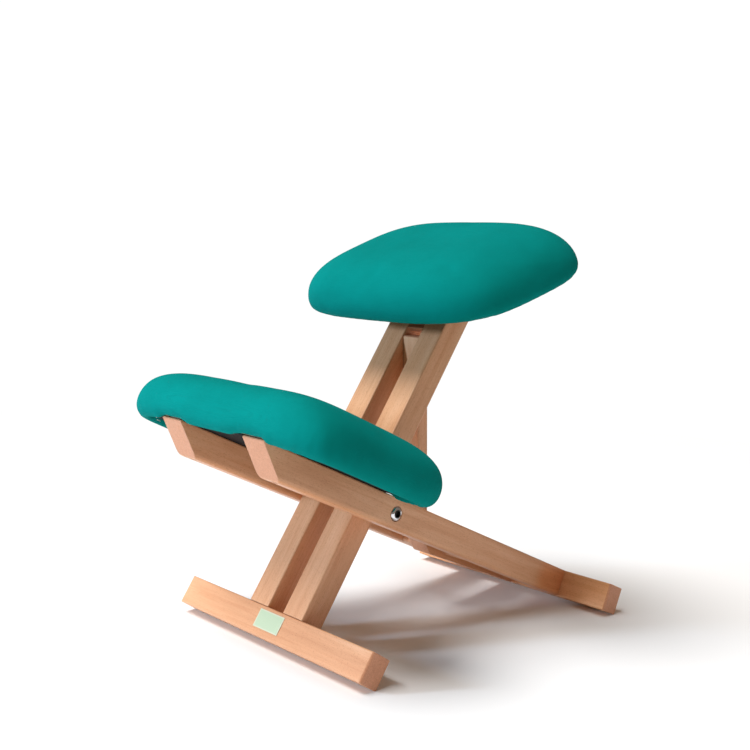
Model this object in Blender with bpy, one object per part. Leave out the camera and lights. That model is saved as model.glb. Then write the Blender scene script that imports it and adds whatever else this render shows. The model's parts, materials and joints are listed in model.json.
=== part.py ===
"""Wooden kneeling chair: a folding X frame in beech with an upholstered knee pad and seat.

Metres, +Z up, +X to the sitter's right hand side, +Y to the rear.  The chair is symmetric about X = 0
and stands on its two foot bars at Z = 0, with Y = 0 half way along its length.

Two frames cross on one pivot axis, which runs along X:
  knee frame  two beams from the rear foot bar up to the knee pad, with a toothed rack between them
  seat frame  two legs from the front foot bar up to the seat
A strut hangs from a pin near the top of the legs, and its foot stands on the rack's first tooth.
"""
import math
from math import cos, pi, radians, sin, tan

import bmesh
import bpy
from mathutils import Matrix, Vector

# ---------------------------------------------------------------- driving dimensions
GAP = 0.0003                      # air between two solids that touch

PIVOT_Y = -0.0887                 # pivot axis, in the chair's own frame
PIVOT_Z = 0.1940
BEAM_SLOPE = radians(23.4)        # the beams fall to the rear
LEG_SLOPE = radians(57.3)         # the legs rise to the rear
SEAT_TILT = radians(20.7)         # the seat's rear edge is its higher one
STRUT_LEAN = radians(3.4)         # the strut's foot is a little behind its pin

FOOT_BAR_LENGTH = 0.402
FOOT_BAR_HEIGHT = 0.042
FOOT_BAR_THICK = 0.036
FOOT_BAR_END_ROUND = 0.004
EDGE = 0.002                      # eased edge of planed beech

BEAM_HEIGHT = 0.042
BEAM_INNER_X = 0.0695
BEAM_OUTER_X = 0.1135
BEAM_FRONT = 0.2593               # pivot to the top front corner
BEAM_REAR = 0.4078                # pivot to the rear foot bar's front face
BEAM_FRONT_CUT = radians(49.5)
BEAM_LOWER_ROUND = 0.0065
BEAM_NOSE_ROUND = 0.009

LEG_INNER_X = 0.0165
LEG_OUTER_X = 0.0578
LEG_DEPTH = 0.040
LEG_DOWN = 0.181                  # pivot to the front foot bar's top face
SEAT_UP = 0.344                   # pivot to the seat board's underside, along the legs
SEAT_FORWARD = 0.020              # seat centre ahead of the legs' centre line

STRUT_HALF_WIDTH = 0.0155
STRUT_THICK = 0.019
STRUT_PIN_UP = 0.258              # pin above the pivot, along the legs
STRUT_PIN_FORWARD = 0.005
STRUT_LENGTH = 0.2795             # pin to the tip of the foot
STRUT_HEAD = 0.0115               # wood above the pin
STRUT_PIN_RADIUS = 0.006

RACK_HALF_WIDTH = 0.018
RACK_FRONT_TOP = 0.138            # pivot to the rack's top front corner
RACK_FRONT_BOTTOM = 0.196
RACK_BOTTOM_FRONT = -0.0283
RACK_BOTTOM_REAR = -0.0215
RACK_LIP = 0.0112                 # top of the lip ahead of the first notch
NOTCH_FRONT = 0.1480              # the first notch's front wall
NOTCH_STOP = 0.1658               # its stop, which keeps the strut's foot from sliding back
NOTCH_FLOOR = 0.0046
NOTCH_DEPTH = 0.0030
NOTCH_PITCH = 0.036
NOTCH_RAMP = 0.018                # length of the ramp from one stop down to the next notch
NOTCH_COUNT = 4
RACK_CROSS_U = 0.226
RACK_CROSS_V = -0.0130
RACK_CROSS_RADIUS = 0.007

BOARD_THICK = 0.010
DUST_THICK = 0.0010
COVER_THICK = 0.0020
PAD_STACK = 2 * GAP + DUST_THICK  # wooden frame's face to the board's underside
TUCK = 0.0160                     # a pad's underside is this far inside its rim
LIP = 0.0245                      # and its cover's turned-in edge this far, against the board

KNEE_HALF_WIDTH = 0.2200
KNEE_FRONT = -0.2745              # rim of the knee pad, along the beams from the pivot
KNEE_REAR = -0.0025
KNEE_HOLLOW = 0.0150              # hollow in the rear edge, which clears the legs
HOLLOW_INNER_X = 0.083            # full depth inside this, and none outside the next
HOLLOW_OUTER_X = 0.125
KNEE_RIM = 0.0170
KNEE_CROWN = 0.0555
KNEE_EXPONENT = 5.2               # of the superellipse that is the pad's plan
KNEE_SQUARENESS = 0.40            # how full the pad's top edge is
KNEE_CROWNING = 0.80              # how flat its top is
KNEE_DROOP = 0.0100               # the pad's two ends hang down this much
KNEE_FLAT_HALF = 0.1180

SEAT_HALF_WIDTH = 0.2055
SEAT_FRONT = -0.1430
SEAT_REAR = 0.1550
SEAT_RIM = 0.0120
SEAT_CROWN = 0.0655
SEAT_DROOP = 0.0075               # the seat's two ends curve down this much
SEAT_FLAT_HALF = 0.0980
SEAT_EXPONENT = 3.4
SEAT_SQUARENESS = 0.47
SEAT_CROWNING = 0.98
SEAT_WIDENING = 0.055             # share by which the seat is wider at its rear edge

RIM_TURNS = (radians(40.0), radians(65.0), radians(90.0))
CROWN_RINGS = 7
LAST_CROWN_TURN = radians(83.0)

DOWEL_RADIUS = 0.0050
DOWEL_DEPTH = 0.0250              # in each of the two pieces that a dowel joins
DOWEL_CHAMFER = 0.0010
BEAM_DOWELS_V = (-0.0090, 0.0090)
LEG_DOWELS_Y = (-0.0080, 0.0050)
RACK_DOWEL_V = -0.0060
CROSS_DOWEL_SINK = 0.0140

BOARD_SCREW_RADIUS = 0.0025
BOARD_SCREW_HEAD = 0.0050
BOARD_SCREW_TIP = 0.0020          # wood left above a screw's point
KNEE_SCREWS_U = (-0.2000, -0.0700)
KNEE_SCREW_SINK = 0.0120

BLOCK_UP = 0.0185                 # block above the strut's pin
BLOCK_INSET = 0.0010              # block's faces inside the legs' faces
BLOCK_CUT_Y = -0.0075             # its lower rear corner is cut away, to clear the strut folded up
BLOCK_CUT_UP = 0.0560
BLOCK_DOWELS = ((-0.0100, 0.0160), (0.0060, 0.0490))   # depth across the legs, height in the block
BLOCK_DOWEL_SINK = 0.0200
STRUT_PIN_SINK = 0.0150

BRACKET_THICK = 0.0030
BRACKET_OUT = 0.0400
BRACKET_FRONT = 0.0060
BRACKET_REAR = 0.0600
BRACKET_DOWN = 0.0360
BRACKET_TAPER = 0.7
BRACKET_CORNER = 0.0050
BRACKET_BOARD_X = 0.0260          # board screws, out from the legs' outer faces
BRACKET_BOARD_Y = (0.0170, 0.0490)
BRACKET_LEG_DOWN = (0.0130, 0.0270)
LEG_SCREW_HEAD = 0.0042
LEG_SCREW_HEAD_THICK = 0.0025
LEG_SCREW_LENGTH = 0.0180
SCREW_RADIUS = 0.0020
PIVOT_BOLT_RADIUS = 0.0040        # M8

PIVOT_HEAD_RADIUS = 0.0098
PIVOT_HEAD_SIDE = 0.0020          # straight side of the button head
PIVOT_HEAD_DOME = 0.0038
PIVOT_HEAD_FLAT = 1.2             # radians of the dome before its flat top
PIVOT_SOCKET_RADIUS = 0.0034
PIVOT_SOCKET_DEPTH = 0.0030
PIVOT_COUNTERBORE = 0.0108
PIVOT_COUNTERBORE_DEPTH = 0.0030
PIVOT_SPACER_RADIUS = 0.0130
PIVOT_WASHER_RADIUS = 0.0085
PIVOT_WASHER_THICK = 0.0016
PIVOT_NUT_RADIUS = 0.0075
PIVOT_NUT_THICK = 0.0075
PIVOT_BOLT_TIP = 0.0045

LABEL_WIDTH = 0.053
LABEL_HEIGHT = 0.026
LABEL_THICK = 0.0005
LABEL_ABOVE_EDGE = 0.0238         # label centre above the bar's lower front edge

ROUND = 20                        # sides of a bolt, dowel or bore
OVERRUN = 0.0100                  # how far a cutter passes the face that it starts from
FLOOR_REACH = 0.6                 # half length of the block that stands for the ground
SKIN = 0.00005                    # keeps two outlines of one member from sharing a plane
PAD_AROUND = 40                   # points round a pad's outline

# ---------------------------------------------------------------- finishes
FINISHES = {
    "beech": ((0.73, 0.50, 0.33), 0.45, 0.0),
    "plywood": ((0.66, 0.50, 0.34), 0.60, 0.0),
    "teal_fabric": ((0.0, 0.31, 0.27), 0.90, 0.0),
    "black_fabric": ((0.02, 0.02, 0.02), 0.95, 0.0),
    "foam": ((0.85, 0.82, 0.70), 0.95, 0.0),
    "chrome": ((0.80, 0.80, 0.82), 0.15, 1.0),
    "steel": ((0.60, 0.60, 0.62), 0.35, 1.0),
    "nylon": ((0.85, 0.84, 0.80), 0.50, 0.0),
    "label": ((0.72, 0.80, 0.60), 0.50, 0.0),
}
materials = {}


def finish(slot):
    """The Principled material of one finish, made once."""
    if slot not in materials:
        colour, roughness, metallic = FINISHES[slot]
        material = bpy.data.materials.new(slot)
        material.use_nodes = True
        shader = material.node_tree.nodes["Principled BSDF"]
        shader.inputs["Base Color"].default_value = (*colour, 1.0)
        shader.inputs["Roughness"].default_value = roughness
        shader.inputs["Metallic"].default_value = metallic
        materials[slot] = material
    return materials[slot]


# ---------------------------------------------------------------- building tools
def empty(name, location, tilt, parent=None):
    """A frame turned about X: its local +Y and +Z stay in the chair's side view."""
    frame = bpy.data.objects.new(name, None)
    frame.location = location
    frame.rotation_euler = (tilt, 0.0, 0.0)
    frame.parent = parent
    bpy.context.scene.collection.objects.link(frame)
    return frame


def to_object(name, bm, parent, slot, smooth=False):
    """Turn a bmesh of closed shells into an object with its faces pointing out."""
    bmesh.ops.recalc_face_normals(bm, faces=bm.faces)
    mesh = bpy.data.meshes.new(name)
    bm.to_mesh(mesh)
    bm.free()
    body = bpy.data.objects.new(name, mesh)
    body.parent = parent
    bpy.context.scene.collection.objects.link(body)
    if slot:
        mesh.materials.append(finish(slot))
    if smooth:
        mesh.shade_smooth()
        mesh.set_sharp_from_angle(angle=radians(35.0))
    return body


def boolean(body, name, bm, operation="DIFFERENCE"):
    """Cut a body with, or limit it to, the shells of a bmesh in the same parent's frame."""
    tool = to_object(body.name + "_" + name, bm, body.parent, None)
    tool.hide_render = True
    tool.display_type = "WIRE"
    modifier = body.modifiers.new(name, "BOOLEAN")
    modifier.operation = operation
    modifier.solver = "EXACT"
    modifier.object = tool


def rounded(corners, steps=4):
    """Outline through (a, b, radius) corners, each with a radius replaced by its arc."""
    outline = []
    count = len(corners)
    for index, (a, b, radius) in enumerate(corners):
        here = Vector((a, b))
        if radius <= 0.0:
            outline.append((a, b))
            continue
        before = (Vector(corners[index - 1][:2]) - here).normalized()
        after = (Vector(corners[(index + 1) % count][:2]) - here).normalized()
        half = before.angle(after) / 2.0
        centre = here + (before + after).normalized() * radius / sin(half)
        start = here + before * radius / tan(half) - centre
        end = here + after * radius / tan(half) - centre
        turn = math.atan2(start.x * end.y - start.y * end.x, start.dot(end))
        for step in range(steps + 1):
            angle = turn * step / steps
            outline.append((
                centre.x + start.x * cos(angle) - start.y * sin(angle),
                centre.y + start.x * sin(angle) + start.y * cos(angle),
            ))
    return outline


def prism(outline, axis, low, high, bm=None):
    """Extrude an outline along X (outline in y, z), Y (in x, z) or Z (in x, y)."""
    bm = bm or bmesh.new()
    place = {
        "X": lambda a, b, c: (c, a, b),
        "Y": lambda a, b, c: (a, c, b),
        "Z": lambda a, b, c: (a, b, c),
    }[axis]
    lower = [bm.verts.new(place(a, b, low)) for a, b in outline]
    upper = [bm.verts.new(place(a, b, high)) for a, b in outline]
    bm.faces.new(lower)
    bm.faces.new(upper)
    for index in range(len(outline)):
        after = (index + 1) % len(outline)
        bm.faces.new((lower[index], lower[after], upper[after], upper[index]))
    return bm


def box(low, high, bm=None):
    """An axis-aligned block."""
    outline = [(low[0], low[1]), (high[0], low[1]), (high[0], high[1]), (low[0], high[1])]
    return prism(outline, "Z", low[2], high[2], bm)


def along(axis, point):
    """Place a turned shape with its +Z along one axis letter, such as 'X' or '-X'."""
    turn = {
        "X": Matrix.Rotation(pi / 2, 4, "Y"),
        "-X": Matrix.Rotation(-pi / 2, 4, "Y"),
        "Y": Matrix.Rotation(-pi / 2, 4, "X"),
        "Z": Matrix.Identity(4),
        "-Z": Matrix.Rotation(pi, 4, "X"),
    }[axis]
    return Matrix.Translation(point) @ turn


def turned(profile, matrix, bm=None, sides=ROUND):
    """Spin (radius, height) points about +Z; a radius of 0 is a point on the axis."""
    bm = bm or bmesh.new()
    rings = []
    for radius, height in profile:
        if radius == 0.0:
            rings.append([bm.verts.new(matrix @ Vector((0.0, 0.0, height)))])
            continue
        rings.append([
            bm.verts.new(matrix @ Vector((
                radius * cos(2 * pi * side / sides),
                radius * sin(2 * pi * side / sides),
                height,
            )))
            for side in range(sides)
        ])
    closed = profile[0][0] > 0.0
    pairs = list(zip(rings, rings[1:]))
    if closed:
        pairs.append((rings[-1], rings[0]))
    for lower, upper in pairs:
        for side in range(sides):
            after = (side + 1) % sides
            corners = [lower[side % len(lower)], lower[after % len(lower)],
                       upper[after % len(upper)], upper[side % len(upper)]]
            bm.faces.new(list(dict.fromkeys(corners)))
    return bm


def rod(radius, length, matrix, bm=None, chamfer=0.0):
    """A round bar from height 0 to its length, with an optional chamfer at each end."""
    if chamfer:
        profile = [(0, 0), (radius - chamfer, 0), (radius, chamfer), (radius, length - chamfer),
                   (radius - chamfer, length), (0, length)]
    else:
        profile = [(0, 0), (radius, 0), (radius, length), (0, length)]
    return turned(profile, matrix, bm)


def mirrored(side, inner, outer):
    """An X range on the left (-1) or the right (1)."""
    return sorted((side * inner, side * outer))


# ---------------------------------------------------------------- upholstery
class Pad:
    """Plan and section of one upholstered pad, in the frame of its board's underside."""

    def __init__(self, half_width, front, rear, exponent, rim, crown, squareness, crowning,
                 droop, flat_half, hollow=0.0, widening=0.0):
        self.half_width = half_width
        self.middle = (front + rear) / 2.0
        self.half_depth = (rear - front) / 2.0
        self.exponent = exponent
        self.rim = rim
        self.crown = crown
        self.squareness = squareness
        self.crowning = crowning
        self.droop = droop
        self.flat_half = flat_half
        self.hollow = hollow
        self.widening = widening

    def point(self, angle, inset, scale, height):
        """A point on the outline, drawn in by an inset or a scale, at a height."""
        power = 2.0 / self.exponent
        c, s = cos(angle), sin(angle)
        x = math.copysign(abs(c) ** power, c) * (self.half_width - inset) * scale
        y = math.copysign(abs(s) ** power, s) * (self.half_depth - inset) * scale
        x *= 1.0 + self.widening * y / self.half_depth
        if y > 0.0:
            share = (HOLLOW_OUTER_X - abs(x)) / (HOLLOW_OUTER_X - HOLLOW_INNER_X)
            y -= self.hollow * min(1.0, max(0.0, share)) * (y / self.half_depth)
        over = max(0.0, abs(x) - self.flat_half) / (self.half_width - self.flat_half)
        return Vector((x, self.middle + y, height - self.droop * over ** 2))

    def outline(self, inset):
        """Flat outline, as (x, y) corners."""
        angles = [2 * pi * (index + 0.5) / PAD_AROUND for index in range(PAD_AROUND)]
        return [tuple(self.point(angle, inset, 1.0, 0.0).xy) for angle in angles]

    def ring(self, bm, inset, scale, height):
        """One closed ring of vertices round the pad."""
        return [
            bm.verts.new(self.point(2 * pi * (index + 0.5) / PAD_AROUND, inset, scale, height))
            for index in range(PAD_AROUND)
        ]

    def dome(self, bm, skin, base):
        """Rings from the lip at a base height, round the rim and up over the crown, and the top vertex."""
        rings = [self.ring(bm, LIP, 1.0, base)]
        for turn in (math.acos(1.0 - base / self.rim), *RIM_TURNS):
            inset = skin + TUCK * (1.0 - sin(turn))
            rings.append(self.ring(bm, inset, 1.0, self.rim * (1.0 - cos(turn))))
        for step in range(1, CROWN_RINGS + 1):
            turn = LAST_CROWN_TURN * step / CROWN_RINGS
            height = self.rim + (self.crown - skin) * sin(turn) ** self.crowning
            rings.append(self.ring(bm, skin, cos(turn) ** self.squareness, height))
        top = bm.verts.new((0.0, self.middle, self.rim + self.crown - skin))
        for lower, upper in zip(rings, rings[1:]):
            bridge(bm, lower, upper)
        fan(bm, rings[-1], top)
        return rings[0]


def bridge(bm, lower, upper):
    """Faces between two rings."""
    for index in range(len(lower)):
        after = (index + 1) % len(lower)
        bm.faces.new((lower[index], lower[after], upper[after], upper[index]))


def fan(bm, ring, centre):
    """Triangles from a ring to one vertex."""
    for index in range(len(ring)):
        bm.faces.new((ring[index], ring[(index + 1) % len(ring)], centre))


def upholster(prefix, pad, frame, fixings):
    """Board, foam, cover and dust cover of one pad; the board's pilot holes are blind."""
    board = to_object(prefix + "_board", prism(pad.outline(LIP + GAP), "Z", 0.0, BOARD_THICK),
                      frame, "plywood")
    dust_cover = to_object(prefix + "_dust_cover",
                           prism(pad.outline(LIP + GAP), "Z", -GAP - DUST_THICK, -GAP),
                           frame, "black_fabric")
    pilots = bmesh.new()
    holes = bmesh.new()
    for x, y in fixings:
        radius = BOARD_SCREW_RADIUS + GAP
        rod(radius, OVERRUN + BOARD_THICK - BOARD_SCREW_TIP + GAP, along("Z", (x, y, -OVERRUN)), pilots)
        rod(radius, 2 * OVERRUN, along("Z", (x, y, -OVERRUN)), holes)
    boolean(board, "pilots", pilots)
    boolean(dust_cover, "holes", holes)

    bm = bmesh.new()
    lip = pad.dome(bm, COVER_THICK + GAP, COVER_THICK + GAP)
    recess = [bm.verts.new((x, y, BOARD_THICK + GAP)) for x, y in pad.outline(LIP)]
    bridge(bm, lip, recess)
    fan(bm, recess, bm.verts.new((0.0, pad.middle, BOARD_THICK + GAP)))
    to_object(prefix + "_foam", bm, frame, "foam", smooth=True)

    bm = bmesh.new()
    bridge(bm, pad.dome(bm, 0.0, 0.0), pad.dome(bm, COVER_THICK, COVER_THICK))
    to_object(prefix + "_cover", bm, frame, "teal_fabric", smooth=True)


# ---------------------------------------------------------------- wooden members
def foot_bar(name, frame, y_low, z_high, dowel_holes, below):
    """A bar across the chair, with rounded ends and dowel bores, planed where it meets the floor."""
    half = FOOT_BAR_LENGTH / 2.0
    y_high = y_low + FOOT_BAR_THICK
    z_low = z_high - FOOT_BAR_HEIGHT
    section = rounded([(y_low, z_low, EDGE), (y_high, z_low, EDGE),
                       (y_high, z_high, EDGE), (y_low, z_high, EDGE)], 2)
    bar = to_object(name, prism(section, "X", -half - OVERRUN, half + OVERRUN), frame, "beech")
    plan = rounded([(x, y, FOOT_BAR_END_ROUND) for x, y in (
        (-half, y_low - SKIN), (half, y_low - SKIN), (half, y_high + SKIN), (-half, y_high + SKIN))], 3)
    boolean(bar, "plan", prism(plan, "Z", z_low - OVERRUN, z_high + OVERRUN), "INTERSECT")
    boolean(bar, "dowel_bores", dowel_holes)
    boolean(bar, "floor", below)
    return bar


# ---------------------------------------------------------------- frames
for old in list(bpy.data.objects):
    bpy.data.objects.remove(old, do_unlink=True)

SEAT_FRAME_TILT = LEG_SLOPE - pi / 2          # local +Z runs up the legs
SEAT_ON_LEGS = SEAT_TILT - SEAT_FRAME_TILT    # seat board against the legs' square section

knee_frame = empty("knee_frame_axis", (0.0, PIVOT_Y, PIVOT_Z), -BEAM_SLOPE)
seat_frame = empty("seat_frame_axis", (0.0, PIVOT_Y, PIVOT_Z), SEAT_FRAME_TILT)
strut_frame = empty("strut_axis", (0.0, -STRUT_PIN_FORWARD, STRUT_PIN_UP),
                    STRUT_LEAN - SEAT_FRAME_TILT, seat_frame)
knee_pad_frame = empty("knee_pad_plane", (0.0, 0.0, BEAM_HEIGHT / 2 + PAD_STACK), 0.0, knee_frame)
seat_pad_frame = empty("seat_pad_plane", (0.0, -SEAT_FORWARD, SEAT_UP), SEAT_ON_LEGS, seat_frame)

half_beam = BEAM_HEIGHT / 2
half_leg = LEG_DEPTH / 2
beam_middle = (BEAM_INNER_X + BEAM_OUTER_X) / 2
leg_middle = (LEG_INNER_X + LEG_OUTER_X) / 2
HANDS = ((-1, "left"), (1, "right"))


def out_and_in(side):
    """The axis letters that point away from the chair's middle, and towards it."""
    return ("X", "-X") if side > 0 else ("-X", "X")


def leg_height(y):
    """Height up the legs of the plane on which the seat pad rests, at a depth across them."""
    return SEAT_UP + (y + SEAT_FORWARD) * tan(SEAT_ON_LEGS) - PAD_STACK / cos(SEAT_ON_LEGS)


def below_floor(frame_tilt):
    """All that lies under the floor, in the frame of a bar: it planes the bar's lowest edge flat."""
    to_world = Matrix.Translation((0.0, PIVOT_Y, PIVOT_Z)) @ Matrix.Rotation(frame_tilt, 4, "X")
    block = box((-FOOT_BAR_LENGTH, -FLOOR_REACH, -OVERRUN), (FOOT_BAR_LENGTH, FLOOR_REACH, 0.0))
    block.transform(to_world.inverted())
    return block


# ---------------------------------------------------------------- knee frame: beams
beam_outline = rounded([
    (-BEAM_FRONT, half_beam + SKIN, EDGE),
    (-BEAM_FRONT + BEAM_HEIGHT * tan(BEAM_FRONT_CUT), -half_beam - SKIN, BEAM_NOSE_ROUND),
    (BEAM_REAR - GAP, -half_beam - SKIN, 0),
    (BEAM_REAR - GAP, half_beam + SKIN, 0),
])
for side, hand in HANDS:
    outward, inward = out_and_in(side)
    low_x, high_x = mirrored(side, BEAM_INNER_X, BEAM_OUTER_X)
    beam = to_object("knee_beam_" + hand, prism(beam_outline, "X", low_x - OVERRUN, high_x + OVERRUN),
                     knee_frame, "beech")
    section = rounded([(low_x, -half_beam, BEAM_LOWER_ROUND), (high_x, -half_beam, BEAM_LOWER_ROUND),
                       (high_x, half_beam, EDGE), (low_x, half_beam, EDGE)], 3)
    boolean(beam, "section", prism(section, "Y", -2 * BEAM_FRONT, 2 * BEAM_REAR), "INTERSECT")
    bores = bmesh.new()
    bolt_bore = PIVOT_BOLT_RADIUS + GAP
    shoulder = BEAM_OUTER_X - BEAM_INNER_X - PIVOT_COUNTERBORE_DEPTH
    beyond = BEAM_OUTER_X - BEAM_INNER_X + OVERRUN
    turned([(0, -OVERRUN), (bolt_bore, -OVERRUN), (bolt_bore, shoulder),
            (PIVOT_COUNTERBORE, shoulder), (PIVOT_COUNTERBORE, beyond), (0, beyond)],
           along(outward, (side * BEAM_INNER_X, 0.0, 0.0)), bores)
    for u in KNEE_SCREWS_U:
        clear = BOARD_SCREW_RADIUS + GAP
        head = BOARD_SCREW_HEAD + GAP
        through = BEAM_HEIGHT + OVERRUN
        turned([(0, -OVERRUN), (head, -OVERRUN), (head, KNEE_SCREW_SINK), (clear, KNEE_SCREW_SINK),
                (clear, through), (0, through)],
               along("Z", (side * beam_middle, u, -half_beam)), bores)
    for v in BEAM_DOWELS_V:
        rod(DOWEL_RADIUS + GAP, DOWEL_DEPTH + OVERRUN,
            along("Y", (side * beam_middle, BEAM_REAR - DOWEL_DEPTH - GAP, v)), bores)
    blind = side * (BEAM_INNER_X + CROSS_DOWEL_SINK + GAP)
    rod(RACK_CROSS_RADIUS + GAP, CROSS_DOWEL_SINK + OVERRUN,
        along(inward, (blind, RACK_CROSS_U, RACK_CROSS_V)), bores)
    boolean(beam, "bores", bores)

# ---------------------------------------------------------------- knee frame: rear foot bar
rear_places = [(side * beam_middle, v) for side, hand in HANDS for v in BEAM_DOWELS_V]
dowel_names = ["rear_bar_dowel_%d" % number for number in (1, 2, 3, 4)] + ["rack_end_dowel"]
sockets = bmesh.new()
for name, (x, v) in zip(dowel_names, [*rear_places, (0.0, RACK_DOWEL_V)]):
    start = BEAM_REAR - DOWEL_DEPTH
    to_object(name, rod(DOWEL_RADIUS, 2 * DOWEL_DEPTH, along("Y", (x, start, v)), chamfer=DOWEL_CHAMFER),
              knee_frame, "beech", smooth=True)
    rod(DOWEL_RADIUS + GAP, 2 * DOWEL_DEPTH + 2 * GAP, along("Y", (x, start - GAP, v)), sockets)
foot_bar("rear_foot_bar", knee_frame, BEAM_REAR, half_beam, sockets, below_floor(-BEAM_SLOPE))

# ---------------------------------------------------------------- knee frame: strut rack
notch_top = NOTCH_FLOOR + NOTCH_DEPTH
rack_outline = [(NOTCH_FRONT, NOTCH_FLOOR), (NOTCH_FRONT, RACK_LIP), (RACK_FRONT_TOP, RACK_LIP),
                (RACK_FRONT_BOTTOM, RACK_BOTTOM_FRONT), (BEAM_REAR - GAP, RACK_BOTTOM_REAR),
                (BEAM_REAR - GAP, notch_top)]
for number in reversed(range(NOTCH_COUNT)):
    stop = NOTCH_STOP + number * NOTCH_PITCH
    rack_outline += [(stop, notch_top), (stop, NOTCH_FLOOR)]
    if number:
        rack_outline += [(stop - NOTCH_PITCH + NOTCH_RAMP, NOTCH_FLOOR)]
rack = to_object("strut_rack", prism(rack_outline, "X", -RACK_HALF_WIDTH, RACK_HALF_WIDTH),
                 knee_frame, "beech")
bores = bmesh.new()
rod(RACK_CROSS_RADIUS + GAP, 4 * RACK_HALF_WIDTH,
    along("X", (-2 * RACK_HALF_WIDTH, RACK_CROSS_U, RACK_CROSS_V)), bores)
rod(DOWEL_RADIUS + GAP, DOWEL_DEPTH + OVERRUN,
    along("Y", (0.0, BEAM_REAR - DOWEL_DEPTH - GAP, RACK_DOWEL_V)), bores)
boolean(rack, "bores", bores)
cross_reach = BEAM_INNER_X + CROSS_DOWEL_SINK
to_object("rack_cross_dowel",
          rod(RACK_CROSS_RADIUS, 2 * cross_reach, along("X", (-cross_reach, RACK_CROSS_U, RACK_CROSS_V)),
              chamfer=DOWEL_CHAMFER),
          knee_frame, "beech", smooth=True)

# ---------------------------------------------------------------- knee frame: pad
knee_pad = Pad(KNEE_HALF_WIDTH, KNEE_FRONT, KNEE_REAR, KNEE_EXPONENT, KNEE_RIM, KNEE_CROWN,
               KNEE_SQUARENESS, KNEE_CROWNING, KNEE_DROOP, KNEE_FLAT_HALF, hollow=KNEE_HOLLOW)
knee_fixings = [(side * beam_middle, u) for side, hand in HANDS for u in KNEE_SCREWS_U]
upholster("knee", knee_pad, knee_pad_frame, knee_fixings)
for number, (x, u) in enumerate(knee_fixings, 1):
    head_low = KNEE_SCREW_SINK - GAP - BOARD_SCREW_RADIUS
    head_high = KNEE_SCREW_SINK - GAP
    point = BEAM_HEIGHT + PAD_STACK + BOARD_THICK - BOARD_SCREW_TIP
    screw = turned([(0, head_low), (BOARD_SCREW_HEAD, head_low), (BOARD_SCREW_HEAD, head_high),
                    (BOARD_SCREW_RADIUS, head_high), (BOARD_SCREW_RADIUS, point - BOARD_SCREW_RADIUS),
                    (0, point)], along("Z", (x, u, -half_beam)))
    to_object("knee_board_screw_%d" % number, screw, knee_frame, "steel", smooth=True)

# ---------------------------------------------------------------- seat frame: front foot bar
sockets = bmesh.new()
front_places = [(side * leg_middle, y) for side, hand in HANDS for y in LEG_DOWELS_Y]
for number, (x, y) in enumerate(front_places, 1):
    low = -LEG_DOWN - DOWEL_DEPTH
    to_object("front_bar_dowel_%d" % number,
              rod(DOWEL_RADIUS, 2 * DOWEL_DEPTH, along("Z", (x, y, low)), chamfer=DOWEL_CHAMFER),
              seat_frame, "beech", smooth=True)
    rod(DOWEL_RADIUS + GAP, 2 * DOWEL_DEPTH + 2 * GAP, along("Z", (x, y, low - GAP)), sockets)
foot_bar("front_foot_bar", seat_frame, -half_leg, -LEG_DOWN, sockets, below_floor(SEAT_FRAME_TILT))
label_low = -LEG_DOWN - FOOT_BAR_HEIGHT + LABEL_ABOVE_EDGE - LABEL_HEIGHT / 2
to_object("label_plate",
          box((-LABEL_WIDTH / 2, -half_leg - GAP - LABEL_THICK, label_low),
              (LABEL_WIDTH / 2, -half_leg - GAP, label_low + LABEL_HEIGHT)),
          seat_frame, "label")

# ---------------------------------------------------------------- seat frame: legs
block_low = STRUT_PIN_UP + BLOCK_UP
pad_to_legs = Matrix.Translation((0.0, -SEAT_FORWARD, SEAT_UP)) @ Matrix.Rotation(SEAT_ON_LEGS, 4, "X")


def plate_point(down):
    """Middle of a bracket's plate in the seat pad's frame, at a depth below the board."""
    return (BRACKET_FRONT + BRACKET_REAR) / 2 - down * tan(SEAT_ON_LEGS), -down


leg_outline = [(y, -LEG_DOWN + GAP) for y in (-LEG_DEPTH, LEG_DEPTH)]
leg_outline += [(y, leg_height(y)) for y in (LEG_DEPTH, -LEG_DEPTH)]
for side, hand in HANDS:
    outward, inward = out_and_in(side)
    low_x, high_x = mirrored(side, LEG_INNER_X, LEG_OUTER_X)
    leg = to_object("seat_leg_" + hand, prism(leg_outline, "X", low_x - OVERRUN, high_x + OVERRUN),
                    seat_frame, "beech")
    section = rounded([(low_x, -half_leg, EDGE), (high_x, -half_leg, EDGE),
                       (high_x, half_leg, EDGE), (low_x, half_leg, EDGE)], 2)
    boolean(leg, "section", prism(section, "Z", -2 * LEG_DOWN, 2 * SEAT_UP), "INTERSECT")
    bores = bmesh.new()
    for y in LEG_DOWELS_Y:
        rod(DOWEL_RADIUS + GAP, DOWEL_DEPTH + OVERRUN + GAP,
            along("Z", (side * leg_middle, y, -LEG_DOWN - OVERRUN)), bores)
    rod(PIVOT_BOLT_RADIUS + GAP, 2 * LEG_OUTER_X, along(inward, (side * 1.5 * LEG_OUTER_X, 0.0, 0.0)), bores)
    rod(STRUT_PIN_RADIUS + GAP, STRUT_PIN_SINK + OVERRUN,
        along(inward, (side * (LEG_INNER_X + STRUT_PIN_SINK + GAP), -STRUT_PIN_FORWARD, STRUT_PIN_UP)),
        bores)
    for y, up in BLOCK_DOWELS:
        rod(DOWEL_RADIUS + GAP, BLOCK_DOWEL_SINK + OVERRUN,
            along(inward, (side * (LEG_INNER_X + BLOCK_DOWEL_SINK + GAP), y, block_low + up)), bores)
    boolean(leg, "bores", bores)
    pilots = bmesh.new()
    for down in BRACKET_LEG_DOWN:
        y, z = plate_point(down)
        rod(SCREW_RADIUS + GAP, LEG_SCREW_LENGTH + OVERRUN,
            along(inward, (side * (LEG_OUTER_X + OVERRUN), y, z)), pilots)
    pilots.transform(pad_to_legs)
    boolean(leg, "screw_pilots", pilots)

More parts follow.
